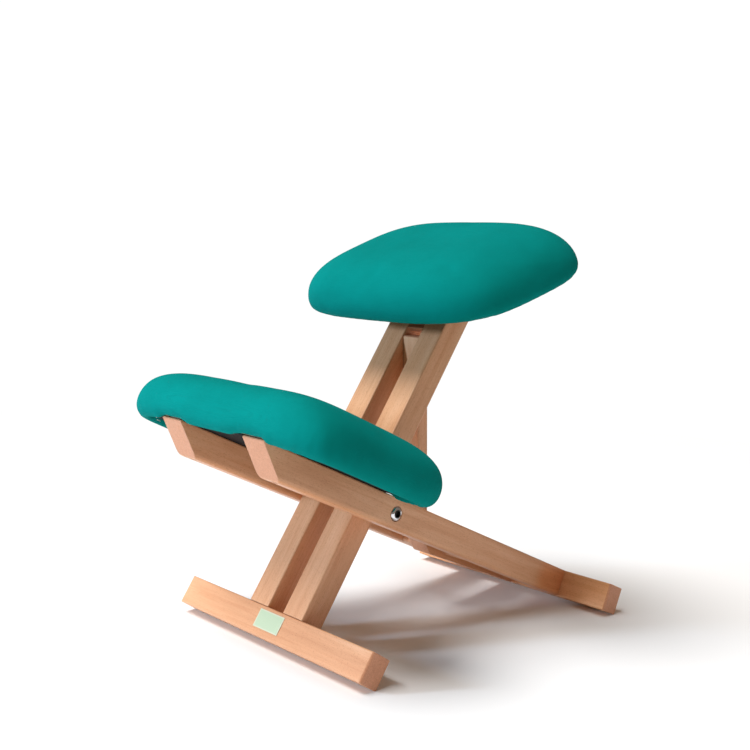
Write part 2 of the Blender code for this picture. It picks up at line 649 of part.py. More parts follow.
# ---------------------------------------------------------------- seat frame: block and strut pin
block_half = half_leg - BLOCK_INSET
block_outline = [(-block_half, block_low), (BLOCK_CUT_Y, block_low), (block_half, block_low + BLOCK_CUT_UP),
                 (block_half, leg_height(block_half)), (-block_half, leg_height(-block_half))]
block = to_object("seat_block", prism(block_outline, "X", -LEG_INNER_X + GAP, LEG_INNER_X - GAP),
                  seat_frame, "beech")
bores = bmesh.new()
for number, (y, up) in enumerate(BLOCK_DOWELS, 1):
    reach = LEG_INNER_X + BLOCK_DOWEL_SINK
    rod(DOWEL_RADIUS + GAP, 4 * LEG_INNER_X, along("X", (-2 * LEG_INNER_X, y, block_low + up)), bores)
    to_object("seat_block_dowel_%d" % number,
              rod(DOWEL_RADIUS, 2 * reach, along("X", (-reach, y, block_low + up)), chamfer=DOWEL_CHAMFER),
              seat_frame, "beech", smooth=True)
boolean(block, "bores", bores)
pin_reach = LEG_INNER_X + STRUT_PIN_SINK
to_object("strut_pin",
          rod(STRUT_PIN_RADIUS, 2 * pin_reach, along("X", (-pin_reach, -STRUT_PIN_FORWARD, STRUT_PIN_UP)),
              chamfer=DOWEL_CHAMFER),
          seat_frame, "steel", smooth=True)

# ---------------------------------------------------------------- seat frame: pad and its brackets
seat_pad = Pad(SEAT_HALF_WIDTH, SEAT_FRONT, SEAT_REAR, SEAT_EXPONENT, SEAT_RIM, SEAT_CROWN,
               SEAT_SQUARENESS, SEAT_CROWNING, SEAT_DROOP, SEAT_FLAT_HALF, widening=SEAT_WIDENING)
board_screw_x = LEG_OUTER_X + BRACKET_BOARD_X
seat_fixings = [(side * board_screw_x, y) for side, hand in HANDS for y in BRACKET_BOARD_Y]
upholster("seat", seat_pad, seat_pad_frame, seat_fixings)
flange_high = -PAD_STACK
flange_low = flange_high - BRACKET_THICK
for number, (x, y) in enumerate(seat_fixings, 1):
    head_high = flange_low - GAP
    head_low = head_high - BOARD_SCREW_RADIUS
    point = BOARD_THICK - BOARD_SCREW_TIP
    screw = turned([(0, head_low), (BOARD_SCREW_HEAD / 2, head_low), (BOARD_SCREW_HEAD, head_high),
                    (BOARD_SCREW_RADIUS, head_high), (BOARD_SCREW_RADIUS, point - BOARD_SCREW_RADIUS),
                    (0, point)], along("Z", (x, y, 0.0)))
    to_object("seat_board_screw_%d" % number, screw, seat_pad_frame, "steel", smooth=True)

for side, hand in HANDS:
    outward, inward = out_and_in(side)
    plate_x = mirrored(side, LEG_OUTER_X + GAP, LEG_OUTER_X + GAP + BRACKET_THICK)
    near, far = side * (LEG_OUTER_X + 2 * GAP), side * (LEG_OUTER_X + BRACKET_OUT)
    half_plate = (BRACKET_REAR - BRACKET_FRONT) / 2
    top_y, top_z = plate_point(-flange_high + BRACKET_THICK / 2)
    low_y, low_z = plate_point(BRACKET_DOWN)
    plate = prism(rounded([(top_y - half_plate, top_z, 0), (top_y + half_plate, top_z, 0),
                           (low_y + half_plate * BRACKET_TAPER, low_z, BRACKET_CORNER),
                           (low_y - half_plate * BRACKET_TAPER, low_z, BRACKET_CORNER)], 3),
                  "X", *plate_x)
    flange = prism(rounded([(near, BRACKET_FRONT, 0), (far, BRACKET_FRONT, BRACKET_CORNER),
                            (far, BRACKET_REAR, BRACKET_CORNER), (near, BRACKET_REAR, 0)], 3),
                   "Z", flange_low, flange_high)
    bracket = to_object("seat_bracket_" + hand, flange, seat_pad_frame, "steel")
    boolean(bracket, "plate", plate, "UNION")
    holes = bmesh.new()
    for y in BRACKET_BOARD_Y:
        rod(BOARD_SCREW_RADIUS + GAP, 2 * OVERRUN, along("Z", (side * board_screw_x, y, -OVERRUN)), holes)
    for index, down in enumerate(BRACKET_LEG_DOWN, 1 if side < 0 else 3):
        y, z = plate_point(down)
        rod(SCREW_RADIUS + GAP, 2 * OVERRUN, along(outward, (side * (LEG_OUTER_X - OVERRUN), y, z)), holes)
        rim = -LEG_SCREW_HEAD_THICK / 2
        screw = turned([(0, -LEG_SCREW_HEAD_THICK), (LEG_SCREW_HEAD / 2, -LEG_SCREW_HEAD_THICK),
                        (LEG_SCREW_HEAD, rim), (LEG_SCREW_HEAD, 0), (SCREW_RADIUS, 0),
                        (SCREW_RADIUS, LEG_SCREW_LENGTH - SCREW_RADIUS), (0, LEG_SCREW_LENGTH)],
                       along(inward, (side * (LEG_OUTER_X + BRACKET_THICK + 2 * GAP), y, z)))
        to_object("bracket_screw_%d" % index, screw, seat_pad_frame, "steel", smooth=True)
    boolean(bracket, "holes", holes)

# ---------------------------------------------------------------- pivot
# One bolt a side passes through beam, spacer and leg, with its nut in the gap between the legs.
under_head = BEAM_OUTER_X - PIVOT_COUNTERBORE_DEPTH + GAP
head_top = under_head + PIVOT_HEAD_SIDE + PIVOT_HEAD_DOME * sin(PIVOT_HEAD_FLAT)
washer_high = LEG_INNER_X - GAP
nut_high = washer_high - PIVOT_WASHER_THICK - GAP
nut_low = nut_high - PIVOT_NUT_THICK
bore = PIVOT_BOLT_RADIUS + GAP
for side, hand in HANDS:
    axis = along(out_and_in(side)[0], (0.0, 0.0, 0.0))
    dome = []
    for step in range(4):
        turn = PIVOT_HEAD_FLAT * step / 3
        dome.append((PIVOT_HEAD_RADIUS * cos(turn),
                     under_head + PIVOT_HEAD_SIDE + PIVOT_HEAD_DOME * sin(turn)))
    bolt = to_object("pivot_bolt_" + hand,
                     turned([(0, PIVOT_BOLT_TIP), (PIVOT_BOLT_RADIUS, PIVOT_BOLT_TIP),
                             (PIVOT_BOLT_RADIUS, under_head), (PIVOT_HEAD_RADIUS, under_head),
                             *dome, (0, head_top)], axis),
                     seat_frame, "chrome", smooth=True)
    socket_low = head_top - PIVOT_SOCKET_DEPTH
    boolean(bolt, "socket",
            turned([(0, socket_low), (PIVOT_SOCKET_RADIUS, socket_low),
                    (PIVOT_SOCKET_RADIUS, head_top + OVERRUN), (0, head_top + OVERRUN)], axis, sides=6))
    for name, radius, low, high, slot in (
            ("pivot_spacer_", PIVOT_SPACER_RADIUS, LEG_OUTER_X + GAP, BEAM_INNER_X - GAP, "nylon"),
            ("pivot_washer_", PIVOT_WASHER_RADIUS, washer_high - PIVOT_WASHER_THICK, washer_high, "steel")):
        ring = turned([(bore, low), (radius, low), (radius, high), (bore, high)], axis)
        to_object(name + hand, ring, seat_frame, slot, smooth=True)
    nut = to_object("pivot_nut_" + hand,
                    turned([(0, nut_low), (PIVOT_NUT_RADIUS, nut_low), (PIVOT_NUT_RADIUS, nut_high),
                            (0, nut_high)], axis, sides=6), seat_frame, "steel")
    boolean(nut, "bore", rod(bore, nut_high + OVERRUN, axis))

# ---------------------------------------------------------------- strut
half_strut = STRUT_THICK / 2
strut_outline = [(-half_strut, STRUT_HEAD - EDGE), (-half_strut + EDGE, STRUT_HEAD),
                 (half_strut - EDGE, STRUT_HEAD), (half_strut, STRUT_HEAD - EDGE)]
for step in range(11):
    turn = pi * step / 10
    strut_outline.append((half_strut * cos(turn), -STRUT_LENGTH + half_strut * (1.0 - sin(turn))))
strut = to_object("strut", prism(strut_outline, "X", -STRUT_HALF_WIDTH, STRUT_HALF_WIDTH),
                  strut_frame, "beech")
boolean(strut, "bore",
        rod(STRUT_PIN_RADIUS + GAP, 4 * STRUT_HALF_WIDTH, along("X", (-2 * STRUT_HALF_WIDTH, 0.0, 0.0))))
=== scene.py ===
"""Looks of the kneeling chair: beech members, two upholstered pads, fixings, floor, light and camera.

Lengths are in metres, in the chair's own frame: +Z up, +Y to the rear, and +X to the right as the
chair is seen from in front.
"""
import json
import math
from math import cos, pi, radians, sin

import bmesh
import bpy
from mathutils import Matrix, Vector, noise

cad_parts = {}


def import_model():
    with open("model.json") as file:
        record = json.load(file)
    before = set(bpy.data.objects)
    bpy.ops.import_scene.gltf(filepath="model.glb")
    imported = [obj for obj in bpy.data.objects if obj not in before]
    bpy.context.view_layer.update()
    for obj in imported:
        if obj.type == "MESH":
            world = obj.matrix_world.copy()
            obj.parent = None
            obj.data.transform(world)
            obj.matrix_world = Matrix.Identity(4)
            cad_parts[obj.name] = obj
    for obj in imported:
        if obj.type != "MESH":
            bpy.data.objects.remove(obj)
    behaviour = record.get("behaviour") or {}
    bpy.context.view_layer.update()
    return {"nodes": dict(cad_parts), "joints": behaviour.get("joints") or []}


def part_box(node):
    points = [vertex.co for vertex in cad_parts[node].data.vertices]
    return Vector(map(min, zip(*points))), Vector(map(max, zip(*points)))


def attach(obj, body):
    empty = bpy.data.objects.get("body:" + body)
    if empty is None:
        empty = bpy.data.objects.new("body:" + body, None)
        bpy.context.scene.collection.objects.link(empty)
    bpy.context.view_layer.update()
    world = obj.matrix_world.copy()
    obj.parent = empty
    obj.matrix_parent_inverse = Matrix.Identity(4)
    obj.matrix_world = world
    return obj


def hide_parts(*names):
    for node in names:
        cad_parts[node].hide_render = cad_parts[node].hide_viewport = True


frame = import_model()

# ---------------------------------------------------------------- the chair's own planes
JOINTS = {joint["name"]: joint for joint in frame["joints"]}
PIVOT = Vector(JOINTS["frame_fold"]["pos_m"])
BEAM_TILT = radians(-23.4)         # knee frame: local +Y runs along the beams
LEG_TILT = radians(-32.7)          # seat frame: local +Z runs up the legs
SEAT_TILT = radians(20.7)          # the seat's plane, against the floor
STRUT_TILT = radians(3.4)
HALF_BEAM = 0.021
BEAM_INNER_X = 0.0695
BEAM_OUTER_X = 0.1135
PAD_STACK = 0.0016                 # wooden frame's face to the board's underside
BOARD_THICK = 0.0100
DUST_FACE = 0.0013                 # dust cover's outer face below the board's underside
SEAT_UP = 0.344
SEAT_FORWARD = 0.020

knee_frame = Matrix.Translation(PIVOT) @ Matrix.Rotation(BEAM_TILT, 4, "X")
seat_frame = Matrix.Translation(PIVOT) @ Matrix.Rotation(LEG_TILT, 4, "X")
knee_plane = knee_frame @ Matrix.Translation((0.0, 0.0, HALF_BEAM + PAD_STACK))
seat_plane = (seat_frame @ Matrix.Translation((0.0, -SEAT_FORWARD, SEAT_UP))
              @ Matrix.Rotation(SEAT_TILT - LEG_TILT, 4, "X"))

# ---------------------------------------------------------------- pads
LIP = 0.0235                       # the turned-in cloth ends this far inside the rim
RECESS = BOARD_THICK + 0.0008      # the foam lies on the board from this height up
BED = 0.0014                       # cloth lies this much below the board, on the wood
SAG_RUN = 0.010                    # the roll sinks to its full depth over this distance
HOLLOW_INNER_X = 0.066             # the hollow has its full depth up to here
HOLLOW_OUTER_X = 0.095             # and none from here outwards
HOLLOW_TOP = 0.058                 # it fades out at this height
LEG_OUTER_X = 0.0578
LEG_FRONT = -0.020
LEG_CLEARANCE = 0.0009
LEG_MARGIN = 0.010                 # the pad keeps clear this far to the legs' sides too
PAD_AROUND = 160
RIM_STEPS = 12
CROWN_STEPS = 22
CROWN_TURN = radians(87.0)         # the crown's last ring, which a nearly flat cap closes
VOXEL = 0.0050
HELD_HEIGHT = 0.004                # cloth is held up to this height over the recess
HELD_SHARE = 0.9                   # and from this share of the tuck inwards

# ---------------------------------------------------------------- cloth
SHRINK = 0.0012                    # the pad is cut this much small, and swells back
SWELL_LIMIT = 0.0030               # no point moves further than this
SWELL_FRAMES = 20
PRESSURE = 4.0
CLOTH_QUALITY = 5
CLOTH_MASS = 0.3
STRETCH_STIFFNESS = 20.0
BENDING_STIFFNESS = 1.5
INWARD_SHARE = 0.25                # a point that would sink keeps this share of its step
ROUNDS_BEFORE_SWELL = 4            # of smoothing
ROUNDS_AFTER_SWELL = 5
PLEAT_HEIGHT = 0.022               # gathers fade out this far above the underside
PLEAT_DEPTH = 0.0016
PLEAT_RATE = 330.0                 # radians per metre round the pad: a pleat every 19 mm
PLEAT_SLANT = 90.0                 # radians per metre of height
PLEAT_WANDER = 5.0                 # radians by which noise shifts a pleat
WANDER_RATE = 22.0
PATCH_RATE = 9.0                   # cells per metre in which pleats are deep or shallow

# ---------------------------------------------------------------- fixings
BOLT_SIDES = 64
BOLT_DOME_STEPS = 12
BOLT_DOME_TURN = 1.12              # radians of the dome, from its foot to the socket
BOLT_HEAD_RADIUS = 0.0098
BOLT_SHANK_RADIUS = 0.0040
BOLT_TIP_X = 0.0045
BOLT_SEAT_X = 0.1108               # under the head, in the beam's counterbore
BOLT_SIDE = 0.0020
BOLT_DOME = 0.0038
BOLT_CHAMFER = 0.0006              # at the shank's tip
BOLT_EDGE = 0.0003                 # under the head
BOLT_ROLL = 0.0006                 # rounded edge round the socket
SOCKET_RADIUS = 0.0055
SOCKET_DEPTH = 0.0042
STAPLE_PITCH = 0.030
STAPLE_CROWN = 0.0100
STAPLE_WIRE = 0.0006
STAPLE_BEVEL = 0.0006              # the crown is this much shorter on its outer face, at each end
STAPLE_INSET = 0.007               # staples stand this far inside the cloth's edge
STAPLE_GAP = 0.0001
STAPLE_STEPS = 720
LABEL_HALF_HEIGHT = 0.013
LABEL_BORDER = (0.0014, 0.0019)    # the pale border fades out between these distances

# ---------------------------------------------------------------- camera, light and floor
CAMERA_LENS = 52.67
CAMERA_SENSOR = 36.0
CAMERA_FROM_PIVOT = Vector((1.15857, -1.01838, 0.34083))
CAMERA_YAW = radians(47.17)
CAMERA_PITCH = radians(5.98)
CAMERA_ROLL = radians(2.2)
AMBIENT = (0.20, 0.165, 0.135)
BACKDROP = 1.02                    # the white that the camera sees behind the chair
OVERHEAD_POWER = 3.3
OVERHEAD_SPREAD = radians(36.0)
OVERHEAD_LEAN = radians(24.0)
OVERHEAD_BEARING = radians(-25.0)
KEY_PLACE = (-0.9, -2.0, 0.80)
KEY_TARGET = (0.0, 0.0, 0.30)
KEY_SIZE = 0.3
KEY_POWER = 20.0
KEY_COLOUR = (0.86, 1.10, 1.36)
FLOOR_RADIUS = 2.2
FLOOR_SIDES = 96


# ---------------------------------------------------------------- material tools
def enabled(sockets, *names):
    """A mix node has sockets of one name for each data type, and only one of them is in use."""
    return [socket for socket in sockets if socket.enabled and socket.name in names]


class Nodes:
    """A material's node tree, with short ways to add to it."""

    def __init__(self, name):
        self.material = bpy.data.materials.new(name)
        self.material.use_nodes = True
        self.tree = self.material.node_tree
        self.shader = self.tree.nodes["Principled BSDF"]
        self.coordinates = self.tree.nodes.new("ShaderNodeTexCoord")

    def link(self, source, target):
        self.tree.links.new(source, target)

    def set(self, **sockets):
        """Constant values on the shader's own sockets."""
        for name, value in sockets.items():
            self.shader.inputs[name.replace("_", " ")].default_value = value

    def mapped(self, tilt, cell, shift=(0.0, 0.0, 0.0)):
        """Object coordinates turned into a member's own directions, in cells of a given size."""
        node = self.tree.nodes.new("ShaderNodeMapping")
        node.vector_type = "TEXTURE"
        node.inputs["Location"].default_value = shift
        node.inputs["Rotation"].default_value = (tilt, 0.0, 0.0)
        node.inputs["Scale"].default_value = cell
        self.link(self.coordinates.outputs["Object"], node.inputs["Vector"])
        return node.outputs["Vector"]

    def noise(self, vector, detail=2.0, roughness=0.5, distortion=0.0):
        node = self.tree.nodes.new("ShaderNodeTexNoise")
        node.inputs["Scale"].default_value = 1.0
        node.inputs["Detail"].default_value = detail
        node.inputs["Roughness"].default_value = roughness
        node.inputs["Distortion"].default_value = distortion
        self.link(vector, node.inputs["Vector"])
        return node.outputs["Fac"]

    def wave(self, vector, direction, distortion=0.0):
        """Bands one cell wide along a direction."""
        node = self.tree.nodes.new("ShaderNodeTexWave")
        node.bands_direction = direction
        node.wave_profile = "SIN"
        node.inputs["Scale"].default_value = pi / 10.0
        node.inputs["Distortion"].default_value = distortion
        self.link(vector, node.inputs["Vector"])
        return node.outputs["Fac"]

    def ramp(self, value, stops):
        """Colours at places along a value."""
        node = self.tree.nodes.new("ShaderNodeValToRGB")
        while len(node.color_ramp.elements) < len(stops):
            node.color_ramp.elements.new(0.5)
        for element, (place, colour) in zip(node.color_ramp.elements, stops):
            element.position = place
            element.color = (*colour, 1.0)
        self.link(value, node.inputs["Fac"])
        return node.outputs["Color"]

    def remap(self, value, low, high, to_low=0.0, to_high=1.0):
        """A value taken smoothly from one range to another, and held at the ends."""
        node = self.tree.nodes.new("ShaderNodeMapRange")
        node.interpolation_type = "SMOOTHSTEP"
        node.inputs["From Min"].default_value = low
        node.inputs["From Max"].default_value = high
        node.inputs["To Min"].default_value = to_low
        node.inputs["To Max"].default_value = to_high
        self.link(value, node.inputs["Value"])
        return node.outputs["Result"]

    def math(self, operation, first, second):
        node = self.tree.nodes.new("ShaderNodeMath")
        node.operation = operation
        for place, value in enumerate((first, second)):
            if isinstance(value, (int, float)):
                node.inputs[place].default_value = value
            else:
                self.link(value, node.inputs[place])
        return node.outputs["Value"]

    def mix(self, share, first, second, blend="MIX"):
        """Two colours mixed by a share that is a number or a socket."""
        node = self.tree.nodes.new("ShaderNodeMix")
        node.data_type = "RGBA"
        node.blend_type = blend
        for name, value in (("Factor", share), ("A", first), ("B", second)):
            socket = enabled(node.inputs, name)[0]
            if isinstance(value, (int, float)):
                socket.default_value = value
            elif isinstance(value, tuple):
                socket.default_value = (*value, 1.0)
            else:
                self.link(value, socket)
        return enabled(node.outputs, "Result")[0]

    def facing(self, direction, tilt):
        """How squarely a face looks along a member's own direction, from 0 to 1."""
        node = self.tree.nodes.new("ShaderNodeVectorMath")
        node.operation = "DOT_PRODUCT"
        node.inputs[1].default_value = Matrix.Rotation(tilt, 3, "X") @ Vector(direction)
        self.link(self.coordinates.outputs["Normal"], node.inputs[0])
        return self.math("ABSOLUTE", node.outputs["Value"], 0.0)

    def bump(self, height, distance, normal=None):
        node = self.tree.nodes.new("ShaderNodeBump")
        node.inputs["Strength"].default_value = 1.0
        node.inputs["Distance"].default_value = distance
        self.link(height, node.inputs["Height"])
        if normal:
            self.link(normal, node.inputs["Normal"])
        self.link(node.outputs["Normal"], self.shader.inputs["Normal"])

    def arris_normal_and_highlight(self, radius):
        """A rounded normal for the arrises, and a value that is 1 on them and 0 on flat faces, which places
        a painted highlight.
        """
        bevel = self.tree.nodes.new("ShaderNodeBevel")
        bevel.samples = 6
        bevel.inputs["Radius"].default_value = radius
        geometry = self.tree.nodes.new("ShaderNodeNewGeometry")
        node = self.tree.nodes.new("ShaderNodeVectorMath")
        node.operation = "DOT_PRODUCT"
        self.link(bevel.outputs["Normal"], node.inputs[0])
        self.link(geometry.outputs["Normal"], node.inputs[1])
        return bevel.outputs["Normal"], self.remap(node.outputs["Value"], 0.995, 0.86)


# ---------------------------------------------------------------- wood
LENGTHWISE = {"X": (1.0, 0.0, 0.0), "Y": (0.0, 1.0, 0.0), "Z": (0.0, 0.0, 1.0)}
BEECH_COLOURS = ((0.84, 0.475, 0.270), (0.76, 0.385, 0.200), (0.64, 0.295, 0.138))
REAR_END_SHADE = (0.330, 0.362)         # painted shade: a beam's rear end, in its corner with the rear bar, darkens and warms between these places along it


def beech(name, axis, tilt, seed, tone=(1.0, 1.0, 1.0), dark_end=None):
    """Steamed beech under satin lacquer, with its grain along one axis of a member's frame.

    Tone scales the red, green and blue; dark_end gives the places where a painted shade starts and is full.
    """
    wood = Nodes(name)
    shift = (0.37 * seed, -0.23 * seed, 0.11 * seed)

    def cells(across, along):
        return wood.mapped(tilt, tuple(along if letter == axis else across for letter in "XYZ"), shift)

    light, middle, dark = [
        tuple(channel * share for channel, share in zip(colour, tone)) for colour in BEECH_COLOURS
    ]
    broad = wood.noise(cells(0.030, 0.260), detail=3.0, roughness=0.55, distortion=0.6)
    colour = wood.ramp(broad, [(0.28, light), (0.52, middle), (0.78, dark)])
    rings = wood.noise(cells(0.0042, 0.160), detail=5.0, roughness=0.62, distortion=0.9)
    colour = wood.mix(wood.remap(rings, 0.42, 0.72, 0.0, 0.42), colour, (0.80, 0.62, 0.48), "MULTIPLY")
    flecks = wood.noise(cells(0.00055, 0.0034), detail=1.5, roughness=0.5)
    colour = wood.mix(wood.remap(flecks, 0.57, 0.70, 0.0, 0.55), colour, (0.62, 0.42, 0.30), "MULTIPLY")

    end = wood.remap(wood.facing(LENGTHWISE[axis], tilt), 0.48, 0.60)
    growth = wood.noise(cells(0.0026, 0.0040), detail=3.0, roughness=0.7)
    pores = wood.noise(cells(0.00045, 0.00045), detail=1.0)
    grain_end = wood.ramp(growth, [(0.30, (0.74, 0.345, 0.190)), (0.70, (0.60, 0.255, 0.130))])
    grain_end = wood.mix(wood.remap(pores, 0.52, 0.62, 0.0, 0.5), grain_end, (0.70, 0.55, 0.45), "MULTIPLY")
    colour = wood.mix(end, colour, grain_end)
    # painted shade: the member darkens and warms towards its end, for the shade and bounce light where it
    # meets the rear bar
    if dark_end:
        start, stop = dark_end
        place = wood.tree.nodes.new("ShaderNodeSeparateXYZ")
        wood.link(wood.mapped(tilt, (1.0, 1.0, 1.0), PIVOT), place.inputs["Vector"])
        painted_end_shade = wood.remap(place.outputs[axis], start, stop, 0.0, 0.60)
        colour = wood.mix(painted_end_shade, colour, (1.00, 0.62, 0.32), "MULTIPLY")
    edge_normal, arris_highlight = wood.arris_normal_and_highlight(0.0016)
    # painted highlight: the arrises are lightened towards a pale peach, at up to 30 percent
    colour = wood.mix(wood.math("MULTIPLY", arris_highlight, 0.30), colour, (0.93, 0.62, 0.40))
    wood.link(colour, wood.shader.inputs["Base Color"])
    wood.link(wood.remap(rings, 0.2, 0.9, 0.40, 0.56), wood.shader.inputs["Roughness"])
    wood.set(Coat_Weight=0.18, Coat_Roughness=0.30, Specular_IOR_Level=0.42)
    relief = wood.math("ADD", wood.math("MULTIPLY", rings, 0.6), wood.math("MULTIPLY", flecks, 0.4))
    wood.bump(relief, 0.00022, edge_normal)
    return wood.material


def plywood(name, tilt):
    """Raw birch plywood: plies across the thickness, pale open grain on the faces."""
    wood = Nodes(name)
    plies = wood.wave(wood.mapped(tilt, (0.05, 0.05, 0.0028)), "Z", distortion=0.3)
    colour = wood.ramp(plies, [(0.35, (0.70, 0.52, 0.34)), (0.65, (0.52, 0.35, 0.21))])
    grain = wood.noise(wood.mapped(tilt, (0.12, 0.004, 0.004)), detail=4.0, roughness=0.6)
    colour = wood.mix(wood.remap(grain, 0.4, 0.75, 0.0, 0.5), colour, (0.75, 0.60, 0.45), "MULTIPLY")
    wood.link(colour, wood.shader.inputs["Base Color"])
    wood.link(wood.remap(grain, 0.2, 0.8, 0.55, 0.75), wood.shader.inputs["Roughness"])
    wood.bump(grain, 0.0002)
    return wood.material


# ---------------------------------------------------------------- cloth, metal and plastic
def upholstery_cloth(name, tilt):
    """Fine plain-weave cloth, matte, with a soft bloom at grazing angles."""
    cloth = Nodes(name)
    thread = 0.00050
    warp = cloth.wave(cloth.mapped(tilt, (thread, thread, thread)), "X", distortion=0.35)
    weft = cloth.wave(cloth.mapped(tilt, (thread, thread, thread)), "Y", distortion=0.35)
    weave = cloth.math("MULTIPLY", warp, weft)
    slub = cloth.noise(cloth.mapped(tilt, (0.018, 0.0011, 0.0011)), detail=3.0, roughness=0.6)
    cloud = cloth.noise(cloth.mapped(tilt, (0.060, 0.060, 0.060)), detail=3.0, roughness=0.55)
    colour = cloth.ramp(cloud, [(0.30, (0.0006, 0.250, 0.226)), (0.70, (0.0005, 0.226, 0.203))])
    colour = cloth.mix(cloth.remap(slub, 0.45, 0.80, 0.0, 0.35), colour, (0.70, 0.80, 0.80), "MULTIPLY")
    colour = cloth.mix(cloth.remap(weave, 0.0, 0.5, 0.16, 0.0), colour, (0.45, 0.62, 0.62), "MULTIPLY")
    cloth.link(colour, cloth.shader.inputs["Base Color"])
    cloth.link(cloth.remap(slub, 0.2, 0.8, 0.80, 0.95), cloth.shader.inputs["Roughness"])
    cloth.set(Specular_IOR_Level=0.03, Sheen_Weight=0.03, Sheen_Roughness=0.40,
              Sheen_Tint=(0.02, 0.80, 0.74, 1.0))
    relief = cloth.math("ADD", cloth.math("MULTIPLY", weave, 0.7), cloth.math("MULTIPLY", slub, 0.5))
    cloth.bump(relief, 0.00018)
    return cloth.material


def dust_cloth(name, tilt):
    """Black spun-bond cloth with its pressed dots."""
    cloth = Nodes(name)
    pitch = (0.0016, 0.0016, 0.0016)
    dots = cloth.math("MULTIPLY", cloth.wave(cloth.mapped(tilt, pitch), "X"),
                      cloth.wave(cloth.mapped(tilt, pitch), "Y"))
    fibre = cloth.noise(cloth.mapped(tilt, (0.0009, 0.0009, 0.0009)), detail=4.0, roughness=0.7)
    cloth.link(cloth.ramp(fibre, [(0.3, (0.006, 0.006, 0.006)), (0.7, (0.022, 0.022, 0.023))]),
               cloth.shader.inputs["Base Color"])
    cloth.link(cloth.remap(dots, 0.0, 0.9, 0.95, 0.70), cloth.shader.inputs["Roughness"])
    cloth.set(Specular_IOR_Level=0.15)
    cloth.bump(dots, 0.00020)
    return cloth.material


def metal(name, colour, dull, rough):
    """Plated steel with fine drawing lines and a little tarnish."""
    plate = Nodes(name)
    lines = plate.noise(plate.mapped(0.0, (0.004, 0.00025, 0.00025)), detail=3.0, roughness=0.6)
    tarnish = plate.noise(plate.mapped(0.0, (0.006, 0.006, 0.006)), detail=3.0)
    plate.link(plate.ramp(tarnish, [(0.35, colour), (0.75, dull)]), plate.shader.inputs["Base Color"])
    plate.link(plate.remap(lines, 0.2, 0.8, rough * 0.7, rough * 1.5), plate.shader.inputs["Roughness"])
    plate.set(Metallic=1.0)
    plate.bump(lines, 0.00002)
    return plate.material


def moulded(name, light, dark, rough):
    """Moulded plastic with a fine mottle."""
    plastic = Nodes(name)
    mottle = plastic.noise(plastic.mapped(0.0, (0.0008, 0.0008, 0.0008)), detail=3.0, roughness=0.6)
    plastic.link(plastic.ramp(mottle, [(0.35, light), (0.70, dark)]), plastic.shader.inputs["Base Color"])
    plastic.link(plastic.remap(mottle, 0.2, 0.8, rough * 0.85, rough * 1.15),
                 plastic.shader.inputs["Roughness"])
    plastic.bump(mottle, 0.00005)
    return plastic.material


def dress(material, *names):
    """Give CAD nodes a finished material."""
    for name in names:
        for slot in frame["nodes"][name].material_slots:
            slot.material = material


def numbered(stem, count):
    return ["%s_%d" % (stem, number) for number in range(1, count + 1)]


def fixings():
    """The names of the zinc-plated CAD nodes."""
    words = ("bracket", "screw", "washer", "nut", "strut_pin")
    return [name for name in frame["nodes"] if any(word in name for word in words)]


# Every member is its own plank, so each has its own stretch of grain.
dress(beech("beech_leg_left", "Z", LEG_TILT, 1), "seat_leg_left")
dress(beech("beech_leg_right", "Z", LEG_TILT, 2), "seat_leg_right")
dress(beech("beech_beam_left", "Y", BEAM_TILT, 3), "knee_beam_left")
# the right beam takes a painted shade at its rear end, by the rear bar
dress(beech("beech_beam_right", "Y", BEAM_TILT, 4, dark_end=REAR_END_SHADE), "knee_beam_right")
dress(beech("beech_front_bar", "X", LEG_TILT, 5), "front_foot_bar")
# painted light: the rear bar is made lighter than the other members, against the shade that the chair casts
# on it
dress(beech("beech_rear_bar", "X", BEAM_TILT, 6, tone=(1.10, 1.08, 0.98)), "rear_foot_bar")
# painted shade: the block under the seat is made much darker than the other members, for the shade it sits
# in
dress(beech("beech_block", "Z", LEG_TILT, 7, tone=(0.66, 0.42, 0.36)), "seat_block")
dress(beech("beech_rack", "Y", BEAM_TILT, 8, tone=(0.95, 0.90, 0.85)), "strut_rack")
dress(beech("beech_strut", "Z", STRUT_TILT, 9, tone=(1.05, 1.10, 1.15)), "strut")
dress(beech("beech_rear_dowels", "Y", BEAM_TILT, 10), "rack_end_dowel", *numbered("rear_bar_dowel", 4))
dress(beech("beech_front_dowels", "Z", LEG_TILT, 11), *numbered("front_bar_dowel", 4))
dress(beech("beech_cross_dowels", "X", 0.0, 12), "rack_cross_dowel", *numbered("seat_block_dowel", 2))
dress(plywood("plywood_knee", BEAM_TILT), "knee_board")
dress(plywood("plywood_seat", SEAT_TILT), "seat_board")
dress(dust_cloth("dust_cloth_knee", BEAM_TILT), "knee_dust_cover")
dress(dust_cloth("dust_cloth_seat", SEAT_TILT), "seat_dust_cover")
zinc = metal("zinc_plate", (0.62, 0.63, 0.65), (0.45, 0.46, 0.48), 0.34)
chrome = metal("bright_chrome", (0.86, 0.86, 0.88), (0.70, 0.70, 0.73), 0.12)
# painted shade: the socket's inside is made near black for the shade in its recess and the dark that it
# reflects
socket_painted_shade = metal("socket_painted_shade", (0.055, 0.052, 0.050), (0.030, 0.028, 0.027), 0.45)
dress(zinc, *fixings())
dress(moulded("nylon_spacer", (0.80, 0.79, 0.74), (0.70, 0.69, 0.64), 0.45),
      "pivot_spacer_left", "pivot_spacer_right")


# ---------------------------------------------------------------- mesh tools
def clamp(value):
    return min(1.0, max(0.0, value))


def add_object(name, data):
    """Put a mesh, light or camera into the scene."""
    thing = bpy.data.objects.new(name, data)
    bpy.context.scene.collection.objects.link(thing)
    return thing


def mesh_from(name, bm):
    mesh = bpy.data.meshes.new(name)
    bm.to_mesh(mesh)
    bm.free()
    return mesh


